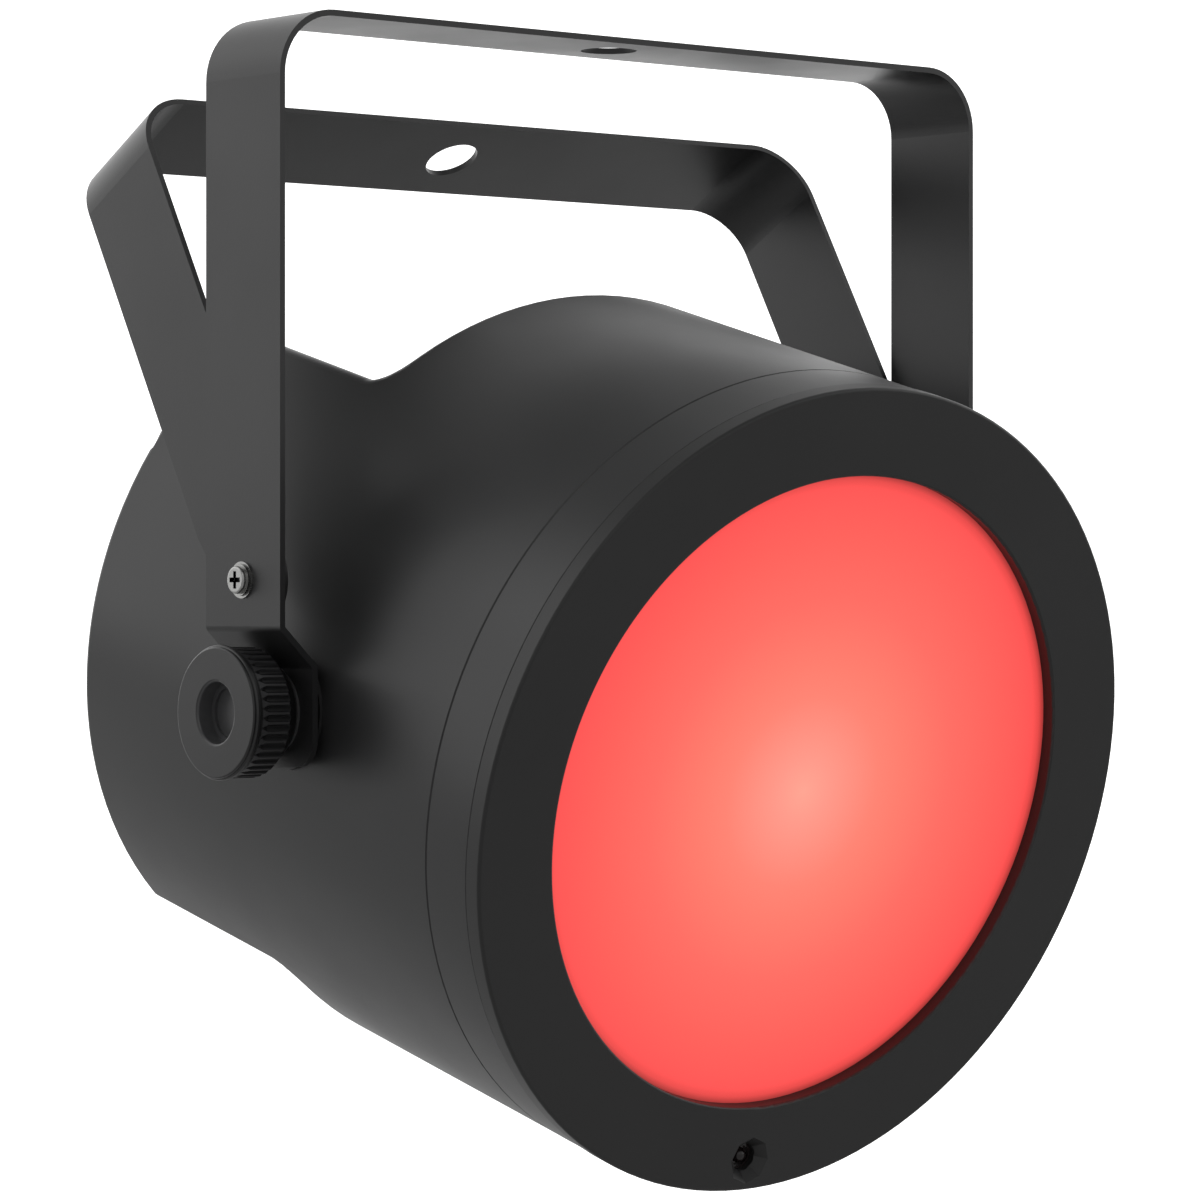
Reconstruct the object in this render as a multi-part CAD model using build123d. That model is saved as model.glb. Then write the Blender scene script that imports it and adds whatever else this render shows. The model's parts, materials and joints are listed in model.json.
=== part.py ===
from build123d import *
import os
from math import acos, atan2, cos, radians, sin, sqrt

# LED par can light on a double yoke, one STEP file per piece.
#
# Row frame, in millimetres: X to the right, -Y to the front, +Z up. The origin is the
# centre of the clamp bolt hole, on the top face of the front yoke. The tilt axis of the
# can runs along X, TILT_DROP below the origin.
#
# The can is modelled on its own axis first: x to the right, y up, z to the front, with
# z = 0 on the tilt axis. place_can() then leans it nose down. The rear yoke is modelled
# upright over its own pivot, and place_rear_yoke() leans it back.

# ---------------------------------------------------------------- stance
TILT_DROP = 167.0            # clamp face down to the tilt axis
CAN_TILT = 15.0              # nose down, degrees
REAR_YOKE_LEAN = 30.0        # leaned back, degrees
YOKE_PIVOT_UP = 31.5         # rear yoke pivot above the tilt axis

# ---------------------------------------------------------------- yoke straps
STRAP_W = 30.0
STRAP_T = 1.5
CLAMP_HOLE_R = 7.1
FRONT_HALF_W = 113.65        # outer faces of the front yoke's arms
FRONT_BEND_R = 16.0
FRONT_FOOT_X = 104.1         # outer faces of the joggled feet
FRONT_JOGGLE_TOP = 19.7
FRONT_JOGGLE_LOW = 10.5
FRONT_FOOT_LOW = -13.0
FRONT_FOOT_R = 6.5
REAR_HALF_W = 110.2
REAR_HEIGHT = 129.5
REAR_BEND_R = 15.5
REAR_END_R = 11.5
REAR_FULL_W_FROM = 20.0      # height over the pivot where the arm has its full width

# ---------------------------------------------------------------- yoke hardware
M4_R = 2.0
M4_HOLE_R = 2.25
M4_BEARING_R = 2.08
M4_HEAD_R = 3.3
M4_HEAD_FACE = 116.0
M4_TIP = 101.6
FLAT_WASHER_R = 4.4
FLAT_WASHER_T = 0.5
SPRING_WASHER_R = 3.8
SPRING_WASHER_T = 0.6
SPACER_R = 5.0
NUT_AF = 7.0
NUT_T = 5.0                  # self-locking
CROSS = (2.0, 0.5, 1.3)      # half length, half width and depth of the cross recess
RUN_GAP = 0.05               # between faces that turn against each other

# ---------------------------------------------------------------- tilt knobs
M8_R = 3.95
M8_INSERT_R = 4.0
M8_HOLE_R = 4.25
KNOB_FACE = 121.7
KNOB_R = 15.6
KNOB_LIP_R = 16.1
KNOB_LIP_FROM = 119.4
KNOB_LIP_TO = 121.0
KNOB_FLUTE_FROM = 111.2      # the flutes run out into the cone behind them
KNOB_FLUTES = 42
KNOB_FLUTE_R = 0.95
KNOB_FLUTE_OUT = 0.2         # flute centres beyond the knob's radius
KNOB_FLUTE_END = 2.0         # length of the ramp at the front of each flute
KNOB_CONE_FROM = 105.3
KNOB_CONE_R = 10.7
KNOB_HUB_R = 10.0
KNOB_RECESS_R = 7.3
KNOB_RECESS_DEPTH = 5.0
STUD_TIP = 88.0
STUD_HEAD = 114.5

# ---------------------------------------------------------------- can shell
BODY_R = 100.5
WALL = 2.5
REAR_RIM = -87.6
REAR_RIM_R = 2.0
SHOULDER = -29.3             # where the full round body starts
COLLAR_FROM = 58.5
BEZEL_FROM = 74.0
FRONT_FACE = 79.2
BEZEL_R = 100.8
SEAM = 0.35                  # chamfer on each side of a seam
FACE_EDGE_R = 0.8
SADDLE_HALF_W = 61.5         # recess between the cheeks, top and bottom
SADDLE_FLOOR = 58.0
SADDLE_RIDGE_R = 4.0
SADDLE_CORNER_R = 3.0
SADDLE_TURN_R = 5.0          # plan radius where the cheeks turn into the shoulder
VENT_PITCH = 8.0
VENT_W = 3.4
VENTS = 13
VENT_FROM = -77.0
VENT_TO = -39.0
PAD_R = 14.0
PAD_FACE = 101.2
BOSS_FROM = 84.0
PANEL_BOSS = (72.0, 60.0)
PANEL_BOSS_R = 4.5

# ---------------------------------------------------------------- lens and bezel
OPENING_R = 79.2
OPENING_EDGE_R = 0.6
LENS_R = 84.0
LENS_FRONT = 75.5
LENS_T = 2.0
GASKET_T = 1.0
FLANGE_BACK = 69.0
SENSOR_AT = (1.0, -93.0)
SENSOR_HOLE_R = 3.5
SENSOR_DISH_R = 6.0
SENSOR_DISH_DEPTH = 2.6

# ---------------------------------------------------------------- light engine
BULKHEAD_R = 97.5
BULKHEAD = (-24.0, -22.0)
BULKHEAD_SCREW = (48.0, 74.0)
BULKHEAD_BOSS_R = 4.5
SINK_HALF = 52.0
SINK_BASE_T = 6.0
SINK_BACK = -56.0
SINK_FINS = 15
SINK_FIN_T = 1.8
SINK_PITCH = 7.2
REFLECTOR_FROM = -18.0
REFLECTOR_TO = 67.8
REFLECTOR_VERTEX = -25.4     # apex of the parabola
REFLECTOR_4F = 65.2
REFLECTOR_T = 1.2
HOLDER_R = 25.0
HOLDER_BORE_R = 12.0
MODULE_HALF = 19.0
EMITTER_R = 11.0

# ---------------------------------------------------------------- rear panel
PANEL = (-82.0, -80.0)
PANEL_GAP = 0.25
FAN_AT = (0.0, -18.0)
FAN_HALF = 30.0
FAN_T = 15.0
FAN_BORE_R = 28.5
FAN_HUB_R = 12.5
FAN_BLADES = 7
FAN_SCREW = 25.0
DISPLAY_AT = (0.0, 40.0)
DISPLAY_SIZE = (50.0, 17.0)
BUTTON_Y = 22.0
BUTTON_X = {"menu": -24.0, "down": -8.0, "up": 8.0, "enter": 24.0}
BUTTON_R = 4.0
BUTTON_HOLE_R = 4.3
BOARD = (-74.0, -72.4)
SOCKET_X = 68.0
SOCKET_Y = 28.0
FLANGE = (26.0, 31.0)
INLET_WELL = (16.7, 24.8)
XLR_WELL_R = 8.3
XLR_GROOVE = (7.9, 9.7)
XLR_PIN_RING = 4.6
XLR_PIN_R = 1.2
LATCH_Y = 12.6
LATCH = (3.6, 1.7)           # half sizes of the release tab
FUSE_AT = (-68.0, 0.0)
LOOP_AT = (40.0, -42.0)
LOOP_R = 9.0
LOOP_WIRE_R = 2.0


# ---------------------------------------------------------------- small helpers
def disc(radius, z_from, z_to, x=0.0, y=0.0):
    return Pos(x, y, (z_from + z_to) / 2) * Cylinder(radius, z_to - z_from)


def ring(outer, inner, z_from, z_to, x=0.0, y=0.0):
    return disc(outer, z_from, z_to, x, y) - disc(inner, z_from - 1, z_to + 1, x, y)


def block(x, y, z):
    """Box from three (low, high) pairs."""
    centre = Pos((x[0] + x[1]) / 2, (y[0] + y[1]) / 2, (z[0] + z[1]) / 2)
    return centre * Box(x[1] - x[0], y[1] - y[0], z[1] - z[0])


def rod_x(radius, x_from, x_to, y=0.0, z=0.0):
    """Round bar along X."""
    centre = Pos((x_from + x_to) / 2, y, z)
    return centre * Rot(0, 90, 0) * Cylinder(radius, abs(x_to - x_from))


def prism(sketch, z_from, z_to):
    return Pos(0, 0, z_from) * extrude(sketch, z_to - z_from)


def both_sides(shape):
    """The shape on the left (-X) and its mirror image on the right."""
    return [shape, mirror(shape, Plane.YZ)]


def save(name, solids, place=None):
    """Write one node: a list of separate solids, or one solid."""
    pieces = solids if isinstance(solids, list) else [solids]
    placed = []
    for piece in pieces:
        for solid in piece.solids():
            placed.append(place * solid if place else solid)
    shape = placed[0] if len(placed) == 1 else Compound(children=placed)
    export_step(shape, os.path.join("parts", name + ".step"))


def place_can():
    return Pos(0, 0, -TILT_DROP) * Rot(90 + CAN_TILT, 0, 0)


def place_rear_yoke():
    return Pos(0, 0, YOKE_PIVOT_UP - TILT_DROP) * Rot(-REAR_YOKE_LEAN, 0, 0)


def place_pivot():
    """Upright frame centred on the tilt axis."""
    return Pos(0, 0, -TILT_DROP)


# ---------------------------------------------------------------- yokes
def strap_band(points, rounds):
    """Closed outline in the XZ plane, rounded at chosen corners, as a strap along Y."""
    face = make_face(Polyline(*points, close=True))
    for radius, corners in rounds:
        for x, z in corners:
            corner = face.vertices().sort_by_distance((x, z, 0))[0]
            face = fillet(corner, radius)
    upright = Rot(90, 0, 0) * Pos(0, 0, -STRAP_W / 2) * extrude(face, STRAP_W)
    return upright


def front_yoke():
    drop = FRONT_JOGGLE_TOP - FRONT_JOGGLE_LOW
    step = FRONT_HALF_W - FRONT_FOOT_X
    slant = sqrt(drop * drop + step * step)
    # where the offset slanted line meets the offset vertical ones
    shift = STRAP_T * (slant - drop) / step
    outer = [
        (FRONT_FOOT_X, FRONT_FOOT_LOW),
        (FRONT_FOOT_X, FRONT_JOGGLE_LOW),
        (FRONT_HALF_W, FRONT_JOGGLE_TOP),
        (FRONT_HALF_W, TILT_DROP),
    ]
    inner = [
        (FRONT_HALF_W - STRAP_T, TILT_DROP - STRAP_T),
        (FRONT_HALF_W - STRAP_T, FRONT_JOGGLE_TOP + shift),
        (FRONT_FOOT_X - STRAP_T, FRONT_JOGGLE_LOW + shift),
        (FRONT_FOOT_X - STRAP_T, FRONT_FOOT_LOW),
    ]
    left_outer = [(-x, z) for x, z in reversed(outer)]
    left_inner = [(-x, z) for x, z in reversed(inner)]
    points = outer + left_outer + left_inner + inner
    rounds = [
        (FRONT_BEND_R, [(FRONT_HALF_W, TILT_DROP), (-FRONT_HALF_W, TILT_DROP)]),
        (FRONT_BEND_R - STRAP_T, [inner[0], (-inner[0][0], inner[0][1])]),
    ]
    joggle_outside = [outer[2], inner[2]]
    joggle_inside = [outer[1], inner[1]]
    rounds.append((2.0, joggle_outside + [(-x, z) for x, z in joggle_outside]))
    rounds.append((0.6, joggle_inside + [(-x, z) for x, z in joggle_inside]))
    strap = strap_band(points, rounds)
    foot = block((-120, 120), (-STRAP_W / 2, STRAP_W / 2), (FRONT_FOOT_LOW, FRONT_JOGGLE_TOP))
    foot_edges = foot.edges().filter_by(Axis.X).group_by(Axis.Z)[0]
    foot = fillet(foot_edges, FRONT_FOOT_R)
    above = block((-120, 120), (-STRAP_W, STRAP_W), (FRONT_JOGGLE_TOP, TILT_DROP + 1))
    strap = strap & (foot + above)
    strap -= disc(CLAMP_HOLE_R, TILT_DROP - 5, TILT_DROP + 5)
    strap -= rod_x(M4_HOLE_R, -130, 130, 0, YOKE_PIVOT_UP)
    strap -= rod_x(M8_HOLE_R, -130, 130)
    return strap


def tangent_point(x, y, radius):
    """Where the lower tangent from (x, y) touches a circle about the origin."""
    reach = sqrt(x * x + y * y)
    turn = atan2(y, x) - acos(radius / reach)
    return (radius * cos(turn), radius * sin(turn))


def rear_yoke():
    low = -REAR_END_R - 1
    outer = [(REAR_HALF_W, low), (REAR_HALF_W, REAR_HEIGHT)]
    inner = [(REAR_HALF_W - STRAP_T, REAR_HEIGHT - STRAP_T), (REAR_HALF_W - STRAP_T, low)]
    left_outer = [(-x, z) for x, z in reversed(outer)]
    left_inner = [(-x, z) for x, z in reversed(inner)]
    points = outer + left_outer + left_inner + inner
    rounds = [
        (REAR_BEND_R, [(REAR_HALF_W, REAR_HEIGHT), (-REAR_HALF_W, REAR_HEIGHT)]),
        (REAR_BEND_R - STRAP_T, [inner[0], (-inner[0][0], inner[0][1])]),
    ]
    strap = strap_band(points, rounds)
    # side view of the arm: a round end tapering out to the full width
    half = STRAP_W / 2
    tangent = tangent_point(half, REAR_FULL_W_FROM, REAR_END_R)
    side = [
        (-tangent[0], tangent[1]),
        (-half, REAR_FULL_W_FROM),
        (-half, REAR_HEIGHT + 1),
        (half, REAR_HEIGHT + 1),
        (half, REAR_FULL_W_FROM),
        tangent,
    ]
    profile = make_face(Polyline(*side, close=True)) + Circle(REAR_END_R)
    mask = Plane.YZ * profile
    mask = Pos(-120, 0, 0) * extrude(mask, 240)
    strap = strap & mask
    strap -= disc(CLAMP_HOLE_R, REAR_HEIGHT - 5, REAR_HEIGHT + 5)
    strap -= rod_x(M4_BEARING_R, -130, 130)
    return strap


# ---------------------------------------------------------------- yoke hardware
def phillips_head(face_x, back_x, y, z):
    """Pan head seen from -X, with a cross recess."""
    head = rod_x(M4_HEAD_R, -face_x, -back_x, y, z)
    head = fillet(head.edges().filter_by(GeomType.CIRCLE).group_by(Axis.X)[0], 0.5)
    half, wide, deep = CROSS
    slot = block((-face_x - 1, -face_x + deep), (y - half, y + half), (z - wide, z + wide))
    return head - slot - Pos(0, y, z) * Rot(90, 0, 0) * Pos(0, -y, -z) * slot


def yoke_screws():
    head_back = FRONT_HALF_W + FLAT_WASHER_T + SPRING_WASHER_T
    screw = phillips_head(M4_HEAD_FACE, head_back, 0, YOKE_PIVOT_UP)
    screw += rod_x(M4_R, -head_back, -M4_TIP, 0, YOKE_PIVOT_UP)
    screw = chamfer(screw.edges().filter_by(GeomType.CIRCLE).group_by(Axis.X)[-1], 0.4)
    return both_sides(screw)


def tube_x(outer, inner, x_from, x_to, y=0.0, z=0.0):
    return rod_x(outer, x_from, x_to, y, z) - rod_x(inner, x_from - 1, x_to + 1, y, z)


def flat_washers():
    return both_sides(
        tube_x(
            FLAT_WASHER_R,
            M4_HOLE_R,
            -FRONT_HALF_W - FLAT_WASHER_T,
            -FRONT_HALF_W,
            0,
            YOKE_PIVOT_UP,
        )
    )


def spring_washers():
    near = -FRONT_HALF_W - FLAT_WASHER_T
    washer = tube_x(SPRING_WASHER_R, M4_HOLE_R, near - SPRING_WASHER_T, near, 0, YOKE_PIVOT_UP)
    split = block((-120, -110), (0, 6), (YOKE_PIVOT_UP - 0.35, YOKE_PIVOT_UP + 0.35))
    return both_sides(washer - split)


def spacer_washers():
    outer = -FRONT_HALF_W + STRAP_T
    inner = -REAR_HALF_W - RUN_GAP
    return both_sides(tube_x(SPACER_R, M4_HOLE_R, outer, inner, 0, YOKE_PIVOT_UP))


def yoke_nuts():
    outer = -REAR_HALF_W + STRAP_T + RUN_GAP
    hexagon = RegularPolygon(NUT_AF / 2, 6, major_radius=False)
    nut = Pos(outer, 0, YOKE_PIVOT_UP) * Rot(0, 90, 0) * extrude(hexagon, NUT_T)
    return both_sides(nut - rod_x(M4_R, -120, -90, 0, YOKE_PIVOT_UP))


# ---------------------------------------------------------------- tilt knobs
def knob():
    """Fluted hand knob on the left, turning about X."""
    foot = -FRONT_FOOT_X - RUN_GAP
    body = rod_x(KNOB_HUB_R, -KNOB_CONE_FROM, foot)
    cone = Cone(KNOB_R, KNOB_CONE_R, KNOB_FLUTE_FROM - KNOB_CONE_FROM)
    body += Pos(-(KNOB_FLUTE_FROM + KNOB_CONE_FROM) / 2, 0, 0) * Rot(0, 90, 0) * cone
    body += rod_x(KNOB_R, -KNOB_LIP_FROM, -KNOB_FLUTE_FROM)
    lip = rod_x(KNOB_LIP_R, -KNOB_LIP_TO, -KNOB_LIP_FROM)
    face = rod_x(KNOB_R, -KNOB_FACE, -KNOB_LIP_TO + 0.2)
    face = fillet(face.edges().filter_by(GeomType.CIRCLE).group_by(Axis.X)[0], 0.4)
    lip = fillet(lip.edges().filter_by(GeomType.CIRCLE), 0.5)
    # one flute: a round bottom, ramped up towards the lip
    ramp_end = -KNOB_LIP_FROM + 0.3
    reach = KNOB_FLUTE_FROM - KNOB_CONE_FROM + 1.0
    long_part = rod_x(KNOB_FLUTE_R, ramp_end + KNOB_FLUTE_END, -KNOB_FLUTE_FROM + reach)
    ramp = Cone(0.2, KNOB_FLUTE_R, KNOB_FLUTE_END)
    ramp = Pos(ramp_end + KNOB_FLUTE_END / 2, 0, 0) * Rot(0, 90, 0) * ramp
    flute = Pos(0, 0, KNOB_R + KNOB_FLUTE_OUT) * (long_part + ramp)
    flutes = [Rot(360 / KNOB_FLUTES * index, 0, 0) * flute for index in range(KNOB_FLUTES)]
    body = body - flutes
    body = body + lip + face
    well_floor = -KNOB_FACE + KNOB_RECESS_DEPTH
    body = body - rod_x(KNOB_RECESS_R, -KNOB_FACE - 1, well_floor)
    mouth = body.edges().filter_by(GeomType.CIRCLE).group_by(Axis.X)[0]
    inner_mouth = mouth.sort_by(lambda edge: edge.radius)[0]
    body = fillet(inner_mouth, 0.7)
    step = tube_x(KNOB_RECESS_R, KNOB_RECESS_R - 1.2, well_floor - 0.8, well_floor)
    body += step
    body -= rod_x(M8_R, -STUD_HEAD, foot + 1)
    return body


def knob_stud():
    stud = rod_x(M8_R, -STUD_HEAD, -STUD_TIP)
    return chamfer(stud.edges().filter_by(GeomType.CIRCLE).group_by(Axis.X)[-1], 0.8)


# ---------------------------------------------------------------- can shell
def shell_profile(inset):
    """Cross-section behind the shoulder, shrunk all round by inset."""
    radius = BODY_R - inset
    half = SADDLE_HALF_W + inset
    floor = SADDLE_FLOOR - inset
    face = make_face(Circle(radius).edges())
    for side in (1, -1):
        face -= Pos(0, side * (floor + 60)) * Rectangle(2 * half, 120)
    crest = sqrt(radius * radius - half * half)
    ridge = max(SADDLE_RIDGE_R - inset, 0.5)
    corner = SADDLE_CORNER_R + inset
    for x in (half, -half):
        for y in (crest, -crest):
            vertex = face.vertices().sort_by_distance((x, y, 0))[0]
            face = fillet(vertex, ridge)
        for y in (floor, -floor):
            vertex = face.vertices().sort_by_distance((x, y, 0))[0]
            face = fillet(vertex, corner)
    return face


def saddle_cutter():
    """The recess over the upper saddle, its front corners turned to SADDLE_TURN_R."""
    half = SADDLE_HALF_W
    cutter = block((-half, half), (SADDLE_FLOOR, SADDLE_FLOOR + 80), (REAR_RIM - 30, SHOULDER))
    turns = cutter.edges().filter_by(Axis.Y).group_by(Axis.Z)[-1]
    cutter = fillet(turns, SADDLE_TURN_R)
    floor_edges = cutter.edges().group_by(Axis.Y)[0]
    rear_edge = floor_edges.sort_by(Axis.Z)[0]
    return fillet([edge for edge in floor_edges if edge != rear_edge], SADDLE_CORNER_R)


def shell_outside():
    """The round body with both saddles cut and their ridges rounded."""
    shell = disc(BODY_R, REAR_RIM, COLLAR_FROM)
    upper = saddle_cutter()
    shell = shell - upper - mirror(upper, Plane.XZ)
    ridges = []
    for edge in shell.edges():
        middle = edge.position_at(0.5)
        on_body = abs(sqrt(middle.X**2 + middle.Y**2) - BODY_R) < 0.01
        if on_body and REAR_RIM + 1 < middle.Z < SHOULDER + 1 and abs(middle.Y) > 20:
            ridges.append(edge)
    shell = fillet(ridges, SADDLE_RIDGE_R)
    shell = fillet(shell.edges().group_by(Axis.Z)[0], REAR_RIM_R)
    front = shell.edges().filter_by(GeomType.CIRCLE).group_by(Axis.Z)[-1]
    return chamfer(front, SEAM)


def main_housing():
    shell = shell_outside()
    # bosses and pads for the tilt pivots
    shell += rod_x(PAD_R, -PAD_FACE, PAD_FACE)
    shell -= prism(shell_profile(WALL), REAR_RIM - 1, SHOULDER + WALL)
    hollow = disc(BODY_R - WALL, SHOULDER + WALL, COLLAR_FROM + 1)
    hollow = chamfer(hollow.edges().filter_by(GeomType.CIRCLE).group_by(Axis.Z)[0], 3.0)
    shell -= hollow
    boss = rod_x(PAD_R, -PAD_FACE, -BOSS_FROM)
    insert_hole = rod_x(7.0, -PAD_FACE - 1, -BOSS_FROM + 1)
    for side in both_sides(boss):
        shell += side
    for side in both_sides(insert_hole):
        shell -= side
    # screw bosses for the rear panel
    full = prism(shell_profile(0.5), PANEL[1], PANEL[1] + 18)
    for x in (-PANEL_BOSS[0], PANEL_BOSS[0]):
        for y in (-PANEL_BOSS[1], PANEL_BOSS[1]):
            post = disc(PANEL_BOSS_R, PANEL[1], PANEL[1] + 18, x, y)
            shell += post & full
            shell -= disc(1.3, PANEL[1] - 1, PANEL[1] + 12, x, y)
    # vent slots in the floors of both saddles
    for index in range(VENTS):
        x = (index - (VENTS - 1) / 2) * VENT_PITCH
        z_mid = (VENT_FROM + VENT_TO) / 2
        slot = Pos(x, 0, z_mid) * Rot(90, 0, 0) * SlotOverall(VENT_TO - VENT_FROM, VENT_W, 90)
        shell -= Pos(0, 70, 0) * extrude(slot, 140)
    # bosses for the bulkhead's screws
    for x in (-BULKHEAD_SCREW[0], BULKHEAD_SCREW[0]):
        for y in (-BULKHEAD_SCREW[1], BULKHEAD_SCREW[1]):
            shell += disc(BULKHEAD_BOSS_R, SHOULDER + WALL - 0.5, BULKHEAD[0], x, y)
            shell -= disc(1.5, SHOULDER + 0.5, BULKHEAD[0] + 1, x, y)
    return shell


def pivot_inserts():
    hexagon = rod_x(7.0, -PAD_FACE, -BOSS_FROM)
    return both_sides(hexagon - rod_x(M8_INSERT_R, -PAD_FACE - 1, -BOSS_FROM + 1))


def friction_washers():
    outer = -FRONT_FOOT_X + STRAP_T + RUN_GAP
    return both_sides(tube_x(12.0, 4.2, outer, -PAD_FACE))


def front_collar():
    body = ring(BODY_R, BODY_R - 4.5, COLLAR_FROM, BEZEL_FROM)
    edges = body.edges().filter_by(GeomType.CIRCLE)
    rims = [edge for edge in edges if edge.radius > BODY_R - 0.1]
    body = chamfer(rims, SEAM)
    spigot = ring(BODY_R - WALL - 0.1, BODY_R - 4.6, COLLAR_FROM - 8, COLLAR_FROM + 1)
    lens_seat = LENS_FRONT - LENS_T - GASKET_T
    flange = ring(BODY_R - 4, 80.0, FLANGE_BACK, lens_seat)
    rebate = ring(BODY_R - 4, LENS_R + 0.2, lens_seat - 0.5, BEZEL_FROM)
    body = body + spigot + flange + rebate
    return body - disc(SENSOR_HOLE_R, FLANGE_BACK - 1, BEZEL_FROM + 1, *SENSOR_AT)


def front_bezel():
    body = ring(BEZEL_R, OPENING_R, BEZEL_FROM, FRONT_FACE)
    front_edges = body.edges().filter_by(GeomType.CIRCLE).group_by(Axis.Z)[-1]
    outer_edge = front_edges.sort_by(lambda edge: edge.radius)[-1]
    body = fillet(outer_edge, FACE_EDGE_R)
    front_edges = body.edges().filter_by(GeomType.CIRCLE).group_by(Axis.Z)[-1]
    opening_edge = front_edges.sort_by(lambda edge: edge.radius)[0]
    body = fillet(opening_edge, OPENING_EDGE_R)
    back_edges = body.edges().filter_by(GeomType.CIRCLE).group_by(Axis.Z)[0]
    back_outer = back_edges.sort_by(lambda edge: edge.radius)[-1]
    body = chamfer(back_outer, SEAM)
    body -= disc(LENS_R + 0.2, BEZEL_FROM - 1, LENS_FRONT)
    hole = disc(SENSOR_HOLE_R, BEZEL_FROM - 1, FRONT_FACE + 1, *SENSOR_AT)
    # eight-sided dish round the sensor
    mouth = Pos(*SENSOR_AT, FRONT_FACE + 0.01) * RegularPolygon(SENSOR_DISH_R, 8)
    foot = Pos(*SENSOR_AT, FRONT_FACE - SENSOR_DISH_DEPTH) * RegularPolygon(SENSOR_HOLE_R + 0.1, 8)
    return body - hole - loft([foot, mouth])


def remote_sensor():
    """A dark body with a small dome inside a collar."""
    top = BEZEL_FROM + 0.6
    body = disc(SENSOR_HOLE_R, FLANGE_BACK, top, *SENSOR_AT)
    body += ring(SENSOR_HOLE_R - 0.1, 2.7, top - 0.1, top + 0.7, *SENSOR_AT)
    dome = Pos(*SENSOR_AT, top) * Sphere(2.0)
    return body + (dome & disc(SENSOR_HOLE_R, BEZEL_FROM, FRONT_FACE, *SENSOR_AT))


def diffuser_lens():
    return disc(LENS_R, LENS_FRONT - LENS_T, LENS_FRONT)


def lens_gasket():
    top = LENS_FRONT - LENS_T
    return ring(83.6, 80.4, top - GASKET_T, top)


# ---------------------------------------------------------------- light engine
def bulkhead():
    plate = disc(BULKHEAD_R, *BULKHEAD)
    plate -= block((-20.5, 20.5), (-20.5, 20.5), (-30, -20))
    for x in (-BULKHEAD_SCREW[0], BULKHEAD_SCREW[0]):
        for y in (-BULKHEAD_SCREW[1], BULKHEAD_SCREW[1]):
            plate -= disc(1.5, -30, -20, x, y)
    for side in (1, -1):
        plate -= block((side * 75 - 8, side * 75 + 8), (-6, 6), (-30, -20))
    return plate


def screws_on(points, radius, shank_r, face, head_t, depth):
    """Pan-head screws driven towards +z, or towards -z with a negative depth."""
    way = 1 if depth > 0 else -1
    screws = []
    for x, y in points:
        head = disc(radius, min(face, face - way * head_t), max(face, face - way * head_t), x, y)
        outer = head.edges().filter_by(GeomType.CIRCLE).group_by(Axis.Z)
        head = fillet(outer[0] if way > 0 else outer[-1], head_t * 0.35)
        shank = disc(shank_r, min(face, face + depth), max(face, face + depth), x, y)
        top = face - way * head_t
        slot = block((x - radius * 0.6, x + radius * 0.6), (y - 0.3, y + 0.3), (top - 0.7, top + 0.7))
        cross = block((x - 0.3, x + 0.3), (y - radius * 0.6, y + radius * 0.6), (top - 0.7, top + 0.7))
        screws.append(head + shank - slot - cross)
    return screws


def four(x, y, x0=0.0, y0=0.0):
    return [(x0 - x, y0 - y), (x0 + x, y0 - y), (x0 - x, y0 + y), (x0 + x, y0 + y)]


def bulkhead_screws():
    return screws_on(four(*BULKHEAD_SCREW), 2.8, 1.5, BULKHEAD[1], 1.6, -3.8)


def heat_sink():
    sink = block(
        (-SINK_HALF, SINK_HALF),
        (-SINK_HALF, SINK_HALF),
        (BULKHEAD[0] - SINK_BASE_T, BULKHEAD[0]),
    )
    for index in range(SINK_FINS):
        x = (index - (SINK_FINS - 1) / 2) * SINK_PITCH
        sink += block(
            (x - SINK_FIN_T / 2, x + SINK_FIN_T / 2),
            (-SINK_HALF, SINK_HALF),
            (SINK_BACK, BULKHEAD[0] - SINK_BASE_T),
        )
    return sink


def led_module():
    half = MODULE_HALF
    return block((-half, half), (-half, half), (BULKHEAD[0], BULKHEAD[0] + 1.5))


def led_emitter():
    return disc(EMITTER_R, BULKHEAD[0] + 1.5, BULKHEAD[0] + 2.3)


def led_holder():
    holder = ring(HOLDER_R, HOLDER_BORE_R, BULKHEAD[1], REFLECTOR_FROM)
    flare = Pos(0, 0, (BULKHEAD[1] + REFLECTOR_FROM) / 2)
    flare = flare * Cone(HOLDER_BORE_R, 20.0, REFLECTOR_FROM - BULKHEAD[1])
    return holder - flare


def reflector():
    inner = []
    steps = 10
    for index in range(steps + 1):
        z = REFLECTOR_FROM + (REFLECTOR_TO - REFLECTOR_FROM) * index / steps
        inner.append((sqrt(REFLECTOR_4F * (z - REFLECTOR_VERTEX)), z))
    outer = [(x + REFLECTOR_T, z) for x, z in inner]
    edge = Spline(*inner) + Spline(*outer)
    edge += Line(inner[0], outer[0]) + Line(inner[-1], outer[-1])
    bowl = revolve(Plane.XZ * make_face(edge), Axis.Z)
    mouth = inner[-1][0]
    flange = ring(95.5, mouth + 0.2, REFLECTOR_TO, FLANGE_BACK)
    return bowl + flange


def power_supply():
    case = block((-40, 40), (63, 86), (BULKHEAD[1], 22))
    case -= block((-38.8, 38.8), (64.2, 84.8), (BULKHEAD[1] - 1, 20.8))
    for index in range(7):
        x = (index - 3) * 10.0
        case -= Pos(x, 74.5, 20) * Rot(0, 0, 0) * Cylinder(2.4, 10)
    return case


def supply_board():
    board = block((-38.7, 38.7), (66.0, 67.6), (BULKHEAD[1], 20.7))
    board += block((-30, -8), (67.6, 82), (-16, 6))
    board += block((2, 20), (67.6, 79), (-14, 12))
    for x in (26, 34):
        board += Pos(x, 74.8, 4) * Rot(90, 0, 0) * Cylinder(3.5, 14.4)
    return board


def driver_board():
    return block((-35, 35), (-82.4, -80.8), (BULKHEAD[1], 25))


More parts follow.
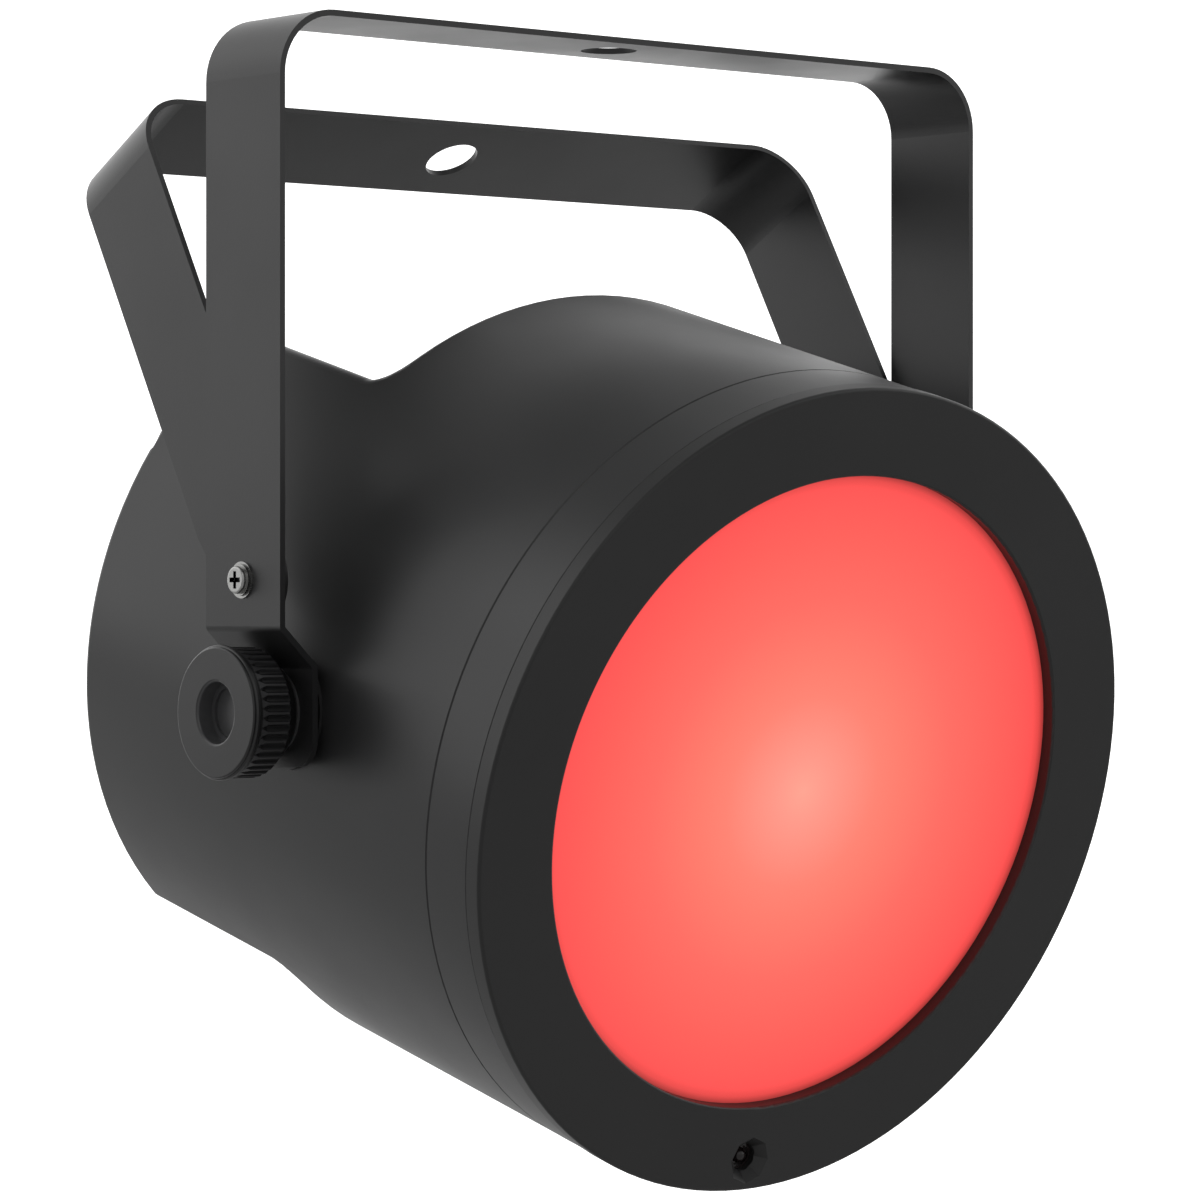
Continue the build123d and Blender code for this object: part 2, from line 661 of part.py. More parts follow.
def driver_parts():
    parts = []
    for x in (-22, -6):
        parts.append(Pos(x, -76.3, 2) * Rot(90, 0, 0) * Cylinder(5.5, 9.0))
    for x in (10, 18, 26):
        parts.append(Pos(x, -75.8, -8) * Rot(90, 0, 0) * Cylinder(3.2, 10.0))
    parts.append(block((6, 20), (-80.8, -78.8), (6, 18)))
    return parts


# ---------------------------------------------------------------- fan
def fan_frame():
    x0, y0 = FAN_AT
    back = PANEL[1] + FAN_T
    frame = block((x0 - FAN_HALF, x0 + FAN_HALF), (y0 - FAN_HALF, y0 + FAN_HALF), (PANEL[1], back))
    frame = fillet(frame.edges().filter_by(Axis.Z), 3.0)
    frame -= disc(FAN_BORE_R, PANEL[1] - 1, back + 1, x0, y0)
    frame += disc(11.0, PANEL[1], PANEL[1] + 2.5, x0, y0)
    for turn in (45, 135, 225, 315):
        strut = block((9.0, FAN_BORE_R + 1), (-1.6, 1.6), (PANEL[1], PANEL[1] + 2.0))
        frame += Pos(x0, y0, 0) * Rot(0, 0, turn) * strut
    for x, y in four(FAN_SCREW, FAN_SCREW, x0, y0):
        frame -= disc(2.1, PANEL[1] - 1, back + 1, x, y)
    return frame - disc(1.55, PANEL[1] - 1, PANEL[1] + 4, x0, y0)


def fan_rotor():
    x0, y0 = FAN_AT
    low = PANEL[1] + 3.0
    high = PANEL[1] + FAN_T - 1.0
    rotor = disc(FAN_HUB_R, low, high, x0, y0)
    rotor = fillet(rotor.edges().filter_by(GeomType.CIRCLE).group_by(Axis.Z)[-1], 1.0)
    rotor += disc(1.5, PANEL[1] + 0.3, low + 1, x0, y0)
    for index in range(FAN_BLADES):
        blade = block((FAN_HUB_R - 1.5, FAN_BORE_R - 0.9), (-0.6, 0.6), (-5.6, 5.6))
        blade = Rot(38, 0, 0) * blade
        turn = Rot(0, 0, 360 / FAN_BLADES * index)
        rotor += Pos(x0, y0, (low + high) / 2) * turn * blade
    envelope = disc(FAN_BORE_R - 0.7, PANEL[1], PANEL[1] + FAN_T, x0, y0)
    return rotor & envelope


def fan_screws():
    points = four(FAN_SCREW, FAN_SCREW, *FAN_AT)
    return screws_on(points, 3.0, 2.0, PANEL[0], 1.8, 8.0)


# ---------------------------------------------------------------- rear panel
def connector_points():
    near = []
    for y0 in (SOCKET_Y, -SOCKET_Y):
        near.append((SOCKET_X - 9.5, y0 + 12.0))
        near.append((SOCKET_X + 9.5, y0 - 12.0))
    return near


def rear_panel():
    panel = prism(shell_profile(WALL + PANEL_GAP), *PANEL)
    for x, y in four(*PANEL_BOSS):
        panel -= disc(1.7, -90, -70, x, y)
    # fan guard: three rings of slots
    x0, y0 = FAN_AT
    for inner, outer in ((7.0, 11.5), (13.5, 18.5), (20.5, 26.0)):
        gap = ring(outer, inner, -90, -70, x0, y0)
        for turn in (0, 45, 90, 135):
            web = block((-1.2, 1.2), (-30, 30), (-90, -70))
            gap -= Pos(x0, y0, 0) * Rot(0, 0, turn + 22.5) * web
        panel -= gap
    for x, y in four(FAN_SCREW, FAN_SCREW, x0, y0):
        panel -= disc(2.0, -90, -70, x, y)
    dx, dy = DISPLAY_AT
    wide, tall = DISPLAY_SIZE
    panel -= block((dx - wide / 2, dx + wide / 2), (dy - tall / 2, dy + tall / 2), (-90, -70))
    for x in BUTTON_X.values():
        panel -= disc(BUTTON_HOLE_R, -90, -70, x, BUTTON_Y)
    for y in (SOCKET_Y, -SOCKET_Y):
        panel -= block((-SOCKET_X - 11, -SOCKET_X + 11), (y - 13.5, y + 13.5), (-90, -70))
        panel -= disc(12.0, -90, -70, SOCKET_X, y)
    for x, y in connector_points():
        panel -= disc(1.5, -90, -70, x, y)
    panel -= disc(6.0, -90, -70, *FUSE_AT)
    for y in (LOOP_AT[1] - LOOP_R, LOOP_AT[1] + LOOP_R):
        panel -= disc(LOOP_WIRE_R, -90, -70, LOOP_AT[0], y)
    return panel


def panel_screws():
    return screws_on(four(*PANEL_BOSS), 3.2, 1.3, PANEL[0], 1.8, 12.0)


def connector_screws():
    return screws_on(connector_points(), 2.6, 1.5, PANEL[0] - 2.0, 1.6, 8.0)


def display_window():
    dx, dy = DISPLAY_AT
    wide, tall = DISPLAY_SIZE
    window = block((dx - wide / 2, dx + wide / 2), (dy - tall / 2, dy + tall / 2), PANEL)
    lip = block(
        (dx - wide / 2 - 2, dx + wide / 2 + 2),
        (dy - tall / 2 - 2, dy + tall / 2 + 2),
        (PANEL[0] - 1.0, PANEL[0]),
    )
    return window + fillet(lip.edges().filter_by(Axis.Z), 2.0)


def display_module():
    dx, dy = DISPLAY_AT
    return block((dx - 23, dx + 23), (dy - 8, dy + 8), (PANEL[1] + 0.3, BOARD[0]))


def display_board():
    return block((-38, 38), (14.5, 52), BOARD)


def board_posts():
    posts = []
    for x, y in ((-35, 18), (35, 18), (-35, 49), (35, 49)):
        posts.append(disc(2.4, PANEL[1], BOARD[0], x, y))
    return posts


def key_switches():
    switches = []
    for x in BUTTON_X.values():
        low = BOARD[0] - 1.8
        switches.append(block((x - 3, x + 3), (BUTTON_Y - 3, BUTTON_Y + 3), (low, BOARD[0])))
    return switches


def button(x):
    cap = disc(BUTTON_R, PANEL[0] - 2.6, PANEL[1] + 0.2, x, BUTTON_Y)
    cap = fillet(cap.edges().filter_by(GeomType.CIRCLE).group_by(Axis.Z)[0], 0.6)
    cap += disc(BUTTON_R + 1.0, PANEL[1] + 0.1, PANEL[1] + 1.1, x, BUTTON_Y)
    return cap + disc(1.5, PANEL[1] + 1.0, PANEL[1] + 3.2, x, BUTTON_Y)


# ---------------------------------------------------------------- connectors
def flange(x, y, thick=2.0):
    plate = block(
        (x - FLANGE[0] / 2, x + FLANGE[0] / 2),
        (y - FLANGE[1] / 2, y + FLANGE[1] / 2),
        (PANEL[0] - thick, PANEL[0]),
    )
    plate = fillet(plate.edges().filter_by(Axis.Z), 2.0)
    return chamfer(plate.faces().sort_by(Axis.Z)[0].edges(), 0.5)


def blade_places(y):
    """The three blades: line and neutral, and earth set off from them."""
    return [(-SOCKET_X - 2.0, y + 7.0), (-SOCKET_X - 2.0, y - 7.0), (-SOCKET_X + 2.0, y)]


def power_inlet():
    x, y = -SOCKET_X, SOCKET_Y
    body = block((x - 11, x + 11), (y - 13.5, y + 13.5), (PANEL[0], -63.0))
    body = flange(x, y) + body
    wide, tall = INLET_WELL
    well = block((x - wide / 2, x + wide / 2), (y - tall / 2, y + tall / 2), (-90, -67.0))
    keyed = well.edges().filter_by(Axis.Z).group_by(Axis.X)[-1]
    body -= chamfer(keyed, 4.0)
    for bx, by in blade_places(y):
        body -= block((bx - 2, bx + 2), (by - 1, by + 1), (-70, -60))
    return body


def inlet_blades():
    blades = []
    for x, y in blade_places(SOCKET_Y):
        blades.append(block((x - 2, x + 2), (y - 1, y + 1), (-77.5, -57.0)))
    return blades


def power_outlet():
    x, y = -SOCKET_X, -SOCKET_Y
    body = block((x - 11, x + 11), (y - 13.5, y + 13.5), (PANEL[0], -63.0))
    body = flange(x, y) + body
    groove = block((x - 9.2, x + 9.2), (y - 12.7, y + 12.7), (-90, -68.0))
    core = block((x - 7.0, x + 7.0), (y - 10.5, y + 10.5), (-90, -68.0))
    core = chamfer(core.edges().filter_by(Axis.Z).group_by(Axis.X)[-1], 3.0)
    groove = chamfer(groove.edges().filter_by(Axis.Z).group_by(Axis.X)[-1], 3.6)
    body -= groove - core
    for bx, by in blade_places(y):
        body -= block((bx - 2.3, bx + 2.3), (by - 1.4, by + 1.4), (-90, -66.0))
    return body


def outlet_contacts():
    contacts = []
    for x, y in blade_places(-SOCKET_Y):
        contacts.append(block((x - 2.3, x + 2.3), (y + 1.0, y + 1.4), (-80.0, -66.0)))
    return contacts


def fuse_holder():
    x, y = FUSE_AT
    body = ring(8.5, 5.6, PANEL[0] - 1.5, PANEL[0], x, y)
    body += ring(6.0, 5.2, PANEL[0], -58.0, x, y)
    return body + disc(5.6, -60.0, -58.0, x, y)


def fuse_cap():
    x, y = FUSE_AT
    cap = disc(5.1, -86.6, -79.0, x, y)
    cap = fillet(cap.edges().filter_by(GeomType.CIRCLE).group_by(Axis.Z)[0], 0.5)
    return cap - block((x - 6, x + 6), (y - 0.7, y + 0.7), (-88, -85.0))


def fuse():
    x, y = FUSE_AT
    return disc(2.5, -78.9, -60.0, x, y)


def pin_places(y):
    places = []
    for turn in (90, 210, 330):
        x = SOCKET_X + XLR_PIN_RING * cos(radians(turn))
        places.append((x, y + XLR_PIN_RING * sin(radians(turn))))
    return places


def dmx_input():
    x, y = SOCKET_X, SOCKET_Y
    body = flange(x, y) + disc(11.9, PANEL[0], -62.0, x, y)
    body -= disc(XLR_WELL_R, -90, -69.0, x, y)
    body += block((x - 1.0, x + 1.0), (y - XLR_WELL_R - 0.5, y - XLR_WELL_R + 1.2), (-82, -69))
    for px, py in pin_places(y):
        body -= disc(XLR_PIN_R, -70, -60, px, py)
    for sx, sy in connector_points()[:2]:
        body -= disc(1.5, -90, -70, sx, sy)
    return body


def dmx_input_pins():
    pins = []
    for x, y in pin_places(SOCKET_Y):
        pin = disc(XLR_PIN_R, -77.5, -58.0, x, y)
        pins.append(fillet(pin.edges().filter_by(GeomType.CIRCLE).group_by(Axis.Z)[0], 0.6))
    return pins


def dmx_output():
    x, y = SOCKET_X, -SOCKET_Y
    body = flange(x, y) + disc(11.9, PANEL[0], -62.0, x, y)
    body -= ring(XLR_GROOVE[1], XLR_GROOVE[0], -90, -69.0, x, y)
    for px, py in pin_places(y):
        body -= disc(XLR_PIN_R + 0.15, -90, -69.0, px, py)
    for sx, sy in connector_points()[2:]:
        body -= disc(1.5, -90, -70, sx, sy)
    gap = 0.3
    pocket = block(
        (x - LATCH[0] - gap, x + LATCH[0] + gap),
        (y + LATCH_Y - LATCH[1] - gap, y + LATCH_Y + LATCH[1] + gap),
        (-90, PANEL[0] + 0.01),
    )
    return body - pocket


def dmx_latch():
    x, y = SOCKET_X, -SOCKET_Y + LATCH_Y
    tab = block((x - LATCH[0], x + LATCH[0]), (y - LATCH[1], y + LATCH[1]), (-85.6, -83.2))
    return fillet(tab.edges().group_by(Axis.Z)[0], 0.5)


def safety_loop():
    x, y = LOOP_AT
    bend = PANEL[0] - 1.0
    half = Pos(x, y, bend) * Rot(0, 90, 0) * Torus(LOOP_R, LOOP_WIRE_R)
    half = half & block((x - 5, x + 5), (y - 20, y + 20), (bend - 20, bend))
    for side in (-1, 1):
        half += disc(LOOP_WIRE_R, bend - 0.01, PANEL[1] + 6.0, x, y + side * LOOP_R)
    return half


def loop_nuts():
    nuts = []
    hexagon = RegularPolygon(3.5, 6, major_radius=False)
    for side in (-1, 1):
        y = LOOP_AT[1] + side * LOOP_R
        nut = Pos(LOOP_AT[0], y, PANEL[1]) * extrude(hexagon, 3.0)
        nuts.append(nut - disc(LOOP_WIRE_R, -90, -70, LOOP_AT[0], y))
    return nuts


# ---------------------------------------------------------------- write the pieces
def main():
    os.makedirs("parts", exist_ok=True)
    pivot = place_pivot()
    can = place_can()

    yoke_pieces = {
        "front_yoke": front_yoke,
        "yoke_screws": yoke_screws,
        "flat_washers": flat_washers,
        "spring_washers": spring_washers,
        "spacer_washers": spacer_washers,
        "yoke_nuts": yoke_nuts,
    }
    for name, build in yoke_pieces.items():
        save(name, build(), pivot)
    save("rear_yoke", rear_yoke(), place_rear_yoke())

    for side, shape in zip(("left", "right"), both_sides(knob())):
        save("knob_" + side, shape, pivot)
    for side, shape in zip(("left", "right"), both_sides(knob_stud())):
        save("knob_stud_" + side, shape, pivot)

    # the pivot hardware lies on the tilt axis, so it turns with the can
    can_pieces = {
        "main_housing": main_housing,
        "front_collar": front_collar,
        "front_bezel": front_bezel,
        "diffuser_lens": diffuser_lens,
        "lens_gasket": lens_gasket,
        "remote_sensor": remote_sensor,
        "pivot_inserts": pivot_inserts,
        "friction_washers": friction_washers,
        "bulkhead": bulkhead,
        "bulkhead_screws": bulkhead_screws,
        "heat_sink": heat_sink,
        "led_module": led_module,
        "led_emitter": led_emitter,
        "led_holder": led_holder,
        "reflector": reflector,
        "power_supply": power_supply,
        "supply_board": supply_board,
        "driver_board": driver_board,
        "driver_parts": driver_parts,
        "rear_panel": rear_panel,
        "panel_screws": panel_screws,
        "fan_frame": fan_frame,
        "fan_rotor": fan_rotor,
        "fan_screws": fan_screws,
        "display_window": display_window,
        "display_module": display_module,
        "display_board": display_board,
        "board_posts": board_posts,
        "key_switches": key_switches,
        "power_inlet": power_inlet,
        "inlet_blades": inlet_blades,
        "power_outlet": power_outlet,
        "outlet_contacts": outlet_contacts,
        "fuse_holder": fuse_holder,
        "fuse_cap": fuse_cap,
        "fuse": fuse,
        "dmx_input": dmx_input,
        "dmx_input_pins": dmx_input_pins,
        "dmx_output": dmx_output,
        "dmx_latch": dmx_latch,
        "connector_screws": connector_screws,
        "safety_loop": safety_loop,
        "loop_nuts": loop_nuts,
    }
    for name, build in can_pieces.items():
        save(name, build(), can)
    for name, x in BUTTON_X.items():
        save("button_" + name, button(x), can)


main()
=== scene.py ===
import json
import math

import bpy
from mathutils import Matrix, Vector

# A par can light on its double yoke, lit red, hung in a plain white studio.
# Lengths are in metres. The yoke's clamp hole is the origin, -Y is the front.
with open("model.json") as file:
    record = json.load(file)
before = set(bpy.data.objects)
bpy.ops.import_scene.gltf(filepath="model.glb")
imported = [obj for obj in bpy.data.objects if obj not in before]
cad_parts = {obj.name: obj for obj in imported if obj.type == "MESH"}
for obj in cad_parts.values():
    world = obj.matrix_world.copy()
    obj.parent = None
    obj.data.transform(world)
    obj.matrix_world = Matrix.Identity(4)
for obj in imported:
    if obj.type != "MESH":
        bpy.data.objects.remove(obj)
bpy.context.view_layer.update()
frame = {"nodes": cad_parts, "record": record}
nodes = frame["nodes"]

# ------------------------------------------------------------------ places
PIVOT = Vector((0.0, 0.0, -0.167))
REAR_PIVOT_UP = 0.0315
TILT = math.radians(15)
CAN_FRONT = Vector((0.0, -math.cos(TILT), -math.sin(TILT)))

LENS_CENTRE = PIVOT + CAN_FRONT * 0.0755
LENS_GLOW_R = 0.080          # the glow fades out to this radius

KNOB_RECESS_PAINTED_LIGHT = (0.0074, 0.0078)  # radii about the tilt axis: the recess's painted light fades out here
KNOB_VALLEY_R = 0.01515
KNOB_CREST_R = 0.0155
KNOB_RIBS_TO = 0.1190        # distances out from the middle of the yoke
KNOB_CONE_TO = 0.1064
SCREW_HEAD_FROM = 0.1135
SPRING_WASHER = (0.11416, 0.11474)
CROSS_REACH = 0.00208        # half length and half width of the painted shade in the screws' cross recess
CROSS_HALF_W = 0.00058


# ------------------------------------------------------------------ node helpers
class Tree:
    """A small wrapper that builds a material's node tree."""

    def __init__(self, name):
        self.material = bpy.data.materials.new(name)
        self.material.use_nodes = True
        self.nodes = self.material.node_tree.nodes
        self.links = self.material.node_tree.links
        self.bsdf = self.nodes["Principled BSDF"]

    def add(self, kind, **values):
        node = self.nodes.new(kind)
        for key, value in values.items():
            setattr(node, key, value)
        return node

    def link(self, source, target):
        self.links.new(source, target)

    def coords(self):
        """Object coordinates, which are row coordinates in metres at rest."""
        return self.add("ShaderNodeTexCoord").outputs["Object"]

    def noise(self, vector, scale, detail=3.0, rough=0.5):
        node = self.add("ShaderNodeTexNoise")
        node.inputs["Scale"].default_value = scale
        node.inputs["Detail"].default_value = detail
        node.inputs["Roughness"].default_value = rough
        self.link(vector, node.inputs["Vector"])
        return node.outputs["Fac"]

    def ramp(self, fac, stops):
        node = self.add("ShaderNodeValToRGB")
        elements = node.color_ramp.elements
        while len(elements) < len(stops):
            elements.new(0.5)
        for element, (place, colour) in zip(elements, stops):
            element.position = place
            element.color = colour if len(colour) == 4 else (*colour, 1.0)
        self.link(fac, node.inputs["Fac"])
        return node.outputs["Color"]

    def span(self, fac, low, high, low_in=0.0, high_in=1.0):
        node = self.add("ShaderNodeMapRange")
        node.inputs["From Min"].default_value = low_in
        node.inputs["From Max"].default_value = high_in
        node.inputs["To Min"].default_value = low
        node.inputs["To Max"].default_value = high
        self.link(fac, node.inputs["Value"])
        return node.outputs["Result"]

    def math(self, operation, first, second):
        """One maths node; the second value may be a number or a socket."""
        node = self.add("ShaderNodeMath", operation=operation)
        self.link(first, node.inputs[0])
        if isinstance(second, float):
            node.inputs[1].default_value = second
        else:
            self.link(second, node.inputs[1])
        return node.outputs["Value"]

    def mix(self, fac, under, over):
        """A fixed colour laid over another where fac is 1."""
        node = self.add("ShaderNodeMix", data_type="RGBA")
        self.link(fac, node.inputs["Factor"])
        self.link(under, node.inputs["A"])
        node.inputs["B"].default_value = over
        return node.outputs["Result"]

    def bump(self, height, strength, distance):
        node = self.add("ShaderNodeBump")
        node.inputs["Strength"].default_value = strength
        node.inputs["Distance"].default_value = distance
        self.link(height, node.inputs["Height"])
        self.link(node.outputs["Normal"], self.bsdf.inputs["Normal"])
        return node

    def set(self, **values):
        for key, value in values.items():
            self.bsdf.inputs[key.replace("_", " ")].default_value = value


def shade(colour, factor):
    return tuple(channel * factor for channel in colour)


def grained(name, colour, rough, grain=2200.0, depth=0.00003, spread=0.10, specular=0.5):
    """Moulded plastic or powder coat: fine grain, with a slow drift in tone and gloss."""
    tree = Tree(name)
    vector = tree.coords()
    slow = tree.noise(vector, 22.0, 4.0)
    fine = tree.noise(vector, grain, 2.0, 0.6)
    tree.link(
        tree.ramp(slow, [(0.3, shade(colour, 1 - spread)), (0.7, shade(colour, 1 + spread))]),
        tree.bsdf.inputs["Base Color"],
    )
    tree.link(tree.span(slow, rough - 0.035, rough + 0.035, 0.3, 0.7), tree.bsdf.inputs["Roughness"])
    tree.bump(fine, 0.35, depth)
    tree.set(Specular_IOR_Level=specular)
    return tree.material


def metal(name, colour, rough, brush=(1.0, 1.0, 1.0), depth=0.00002):
    """Bare or plated metal with fine brushing and small stains."""
    tree = Tree(name)
    where = tree.coords()
    mapping = tree.add("ShaderNodeMapping")
    mapping.inputs["Scale"].default_value = brush
    tree.link(where, mapping.inputs["Vector"])
    lines = tree.noise(mapping.outputs["Vector"], 900.0, 3.0, 0.7)
    stain = tree.noise(where, 60.0, 4.0)
    tree.link(
        tree.ramp(stain, [(0.3, shade(colour, 0.86)), (0.65, colour)]),
        tree.bsdf.inputs["Base Color"],
    )
    tree.link(tree.span(lines, rough - 0.06, rough + 0.08, 0.3, 0.7), tree.bsdf.inputs["Roughness"])
    tree.bump(lines, 0.3, depth)
    tree.set(Metallic=1.0)
    return tree.material


def diffuser():
    """Frosted red lens, lit from behind: brightest in the middle, with painted shade darkening its
    rim under the bezel.
    """
    tree = Tree("red_diffuser")
    where = tree.coords()
    away = tree.add("ShaderNodeVectorMath", operation="DISTANCE")
    tree.link(where, away.inputs[0])
    away.inputs[1].default_value = LENS_CENTRE
    reach = tree.span(away.outputs["Value"], 0.0, 1.0, 0.0, LENS_GLOW_R)
    glow = tree.ramp(
        reach,
        [
            (0.0, (1.0, 0.365, 0.282)),
            (0.10, (1.0, 0.310, 0.245)),
            (0.20, (1.0, 0.262, 0.203)),
            (0.30, (1.0, 0.215, 0.160)),
            (0.40, (1.0, 0.188, 0.140)),
            (0.60, (1.0, 0.135, 0.111)),
            (0.80, (1.0, 0.101, 0.089)),
            # painted shade: these last stops darken the rim of the lens under the bezel's inner wall
            (0.945, (0.95, 0.078, 0.078)),
            (0.970, (0.74, 0.060, 0.060)),
            (0.990, (0.30, 0.030, 0.030)),
        ],
    )
    fine = tree.noise(where, 1500.0, 2.0)
    tree.link(glow, tree.bsdf.inputs["Emission Color"])
    tree.set(Emission_Strength=0.97, Roughness=0.45, Base_Color=(0.25, 0.03, 0.02, 1.0))
    tree.set(Specular_IOR_Level=0.3)
    tree.bump(fine, 0.2, 0.00002)
    return tree.material


def knob_material():
    """Satin plastic, with painted light in the recess and painted highlights on the crests of the
    ribs and at the cone's end.
    """
    tree = Tree("knob_plastic")
    where = tree.coords()
    flatten = tree.add("ShaderNodeVectorMath", operation="MULTIPLY")
    flatten.inputs[1].default_value = (0, 1, 1)
    away = tree.add("ShaderNodeVectorMath", operation="DISTANCE")
    away.inputs[1].default_value = (0, 0, PIVOT.z)
    tree.link(where, flatten.inputs[0])
    tree.link(flatten.outputs["Vector"], away.inputs[0])
    radius = away.outputs["Value"]
    sides = tree.add("ShaderNodeSeparateXYZ")
    tree.link(where, sides.inputs[0])
    out = tree.math("ABSOLUTE", sides.outputs["X"], 0.0)
    slow = tree.noise(where, 22.0, 4.0)
    base = tree.ramp(slow, [(0.3, (0.0078, 0.0078, 0.0082)), (0.7, (0.0094, 0.0094, 0.0098))])
    # painted light: the recess is coloured paler than the face around it
    recess_painted_light = tree.span(radius, 0.0, 1.0, KNOB_RECESS_PAINTED_LIGHT[1], KNOB_RECESS_PAINTED_LIGHT[0])
    # painted highlight: the crests of the ribs are coloured paler
    crest_painted_highlight = tree.math(
        "MULTIPLY",
        tree.span(radius, 0.0, 1.0, KNOB_VALLEY_R, KNOB_CREST_R),
        tree.math("LESS_THAN", out, KNOB_RIBS_TO),
    )
    # painted highlight: the end of the cone is coloured paler
    cone_end_painted_highlight = tree.math("LESS_THAN", out, KNOB_CONE_TO)
    colour = tree.mix(recess_painted_light, base, (0.062, 0.062, 0.064, 1))
    colour = tree.mix(crest_painted_highlight, colour, (0.034, 0.034, 0.035, 1))
    colour = tree.mix(cone_end_painted_highlight, colour, (0.05, 0.05, 0.051, 1))
    tree.link(colour, tree.bsdf.inputs["Base Color"])
    tree.link(tree.span(slow, 0.29, 0.35, 0.3, 0.7), tree.bsdf.inputs["Roughness"])
    tree.bump(tree.noise(where, 2600.0, 2.0, 0.6), 0.35, 0.00002)
    return tree.material


def plated_screws():
    """Zinc-plated screws and washers, with painted deep shade in the cross recess of each head."""
    tree = Tree("zinc_steel")
    where = tree.coords()
    centred = tree.add("ShaderNodeVectorMath", operation="SUBTRACT")
    centred.inputs[1].default_value = (0, 0, PIVOT.z + REAR_PIVOT_UP)
    size = tree.add("ShaderNodeVectorMath", operation="ABSOLUTE")
    sides = tree.add("ShaderNodeSeparateXYZ")
    tree.link(where, centred.inputs[0])
    tree.link(centred.outputs["Vector"], size.inputs[0])
    tree.link(size.outputs["Vector"], sides.inputs[0])
    out, across, up = (sides.outputs[axis] for axis in "XYZ")
    narrow = tree.math("LESS_THAN", tree.math("MINIMUM", across, up), CROSS_HALF_W)
    short = tree.math("LESS_THAN", tree.math("MAXIMUM", across, up), CROSS_REACH)
    head = tree.math("GREATER_THAN", out, SCREW_HEAD_FROM)
    # painted shade: this mask colours the cross recess of each head near black
    cross_painted_shade = tree.math("MULTIPLY", tree.math("MULTIPLY", narrow, short), head)
    spring = tree.math(
        "MULTIPLY",
        tree.math("GREATER_THAN", out, SPRING_WASHER[0]),
        tree.math("LESS_THAN", out, SPRING_WASHER[1]),
    )
    stain = tree.noise(where, 60.0, 4.0)
    colour = tree.ramp(stain, [(0.3, (0.34, 0.34, 0.335)), (0.65, (0.40, 0.40, 0.39))])
    colour = tree.mix(spring, colour, (0.07, 0.07, 0.07, 1))
    colour = tree.mix(cross_painted_shade, colour, (0.006, 0.006, 0.006, 1))
    tree.link(colour, tree.bsdf.inputs["Base Color"])
    lines = tree.noise(where, 900.0, 3.0, 0.7)
    tree.link(tree.span(lines, 0.20, 0.34, 0.3, 0.7), tree.bsdf.inputs["Roughness"])
    tree.bump(lines, 0.3, 0.00002)
    tree.set(Metallic=1.0)
    return tree.material


MATERIALS = {
    "yoke_paint": grained("yoke_paint", (0.0145, 0.0145, 0.015), 0.38, 1800.0, 0.00004),
    "zinc_steel": plated_screws(),
    "black_nylon": grained("black_nylon", (0.015, 0.015, 0.016), 0.5),
    "knob_plastic": knob_material(),
    "housing_plastic": grained("housing_plastic", (0.016, 0.016, 0.0165), 0.38, 2600.0, 0.00002),
    "bezel_plastic": grained(
        "bezel_plastic", (0.0115, 0.0115, 0.0115), 0.42, 2600.0, 0.00002, specular=0.48
    ),
    "red_diffuser": diffuser(),
    "gasket_rubber": grained("gasket_rubber", (0.012, 0.012, 0.012), 0.7),
    "smoked_plastic": grained("smoked_plastic", (0.012, 0.008, 0.008), 0.12, 400.0, 0.00001, 0.2),
    "brass_insert": metal("brass_insert", (0.78, 0.58, 0.30), 0.32),
    "plain_aluminium": metal("plain_aluminium", (0.80, 0.81, 0.82), 0.38, (1.0, 12.0, 1.0)),
    "bright_aluminium": metal("bright_aluminium", (0.90, 0.91, 0.92), 0.16),
    "black_screws": metal("black_screws", (0.06, 0.06, 0.062), 0.36),
    "white_board": grained("white_board", (0.78, 0.78, 0.75), 0.5),
    "phosphor": grained("phosphor", (0.85, 0.62, 0.12), 0.6),
    "white_plastic": grained("white_plastic", (0.74, 0.74, 0.72), 0.5),
    "green_board": grained("green_board", (0.03, 0.16, 0.06), 0.35, 700.0, 0.00003, 0.25),
    "dark_parts": grained("dark_parts", (0.03, 0.03, 0.033), 0.4),
    "panel_paint": grained("panel_paint", (0.028, 0.028, 0.029), 0.45, 1500.0, 0.00005),
    "black_plastic": grained("black_plastic", (0.018, 0.018, 0.019), 0.42),
    "fuse_glass": grained("fuse_glass", (0.8, 0.82, 0.82), 0.1),
    "connector_metal": grained("connector_metal", (0.025, 0.025, 0.026), 0.36, 1500.0, 0.00004),
    "latch_metal": metal("latch_metal", (0.62, 0.62, 0.62), 0.3),
    "button_plastic": grained("button_plastic", (0.05, 0.05, 0.052), 0.45),
}

for part in frame["record"]["subparts"]:
    obj = nodes[part["node"]]
    obj.data.materials.clear()
    obj.data.materials.append(MATERIALS[part["material_slot"]])

# pressed straps: the sheared edges are eased, so they catch a thin line of light
for name in ("front_yoke", "rear_yoke"):
    ease = nodes[name].modifiers.new("eased_edges", "BEVEL")
    ease.width = 0.00028
    ease.segments = 2
    ease.limit_method = "ANGLE"
    ease.angle_limit = math.radians(50)

# ------------------------------------------------------------------ stage
FLOOR_Z = -0.62
VIEW_TURN = math.radians(40)
VIEW_ALONG = (math.sin(VIEW_TURN), math.cos(VIEW_TURN), 0.0)
FLOOR_PAINTED_LIGHT = (0.2, 1.0)     # distances over which the floor behind the light turns paler: painted light
FLOOR_GLOWS = (1.4, 2.6)     # and over which it starts to glow: painted light, as the floor is no lamp
FLOOR_SIDES = (0.3, 0.85)    # cosines from the view: none of either below, all above


def area(name, place, target, size, power):
    lamp = bpy.data.lights.new(name, "AREA")
    lamp.shape = "RECTANGLE"
    lamp.size, lamp.size_y = size
    lamp.energy = power
    obj = bpy.data.objects.new(name, lamp)
    obj.location = place
    aim = (Vector(target) - Vector(place)).to_track_quat("-Z", "Y")
    obj.rotation_euler = aim.to_euler()
    bpy.context.scene.collection.objects.link(obj)
    return obj


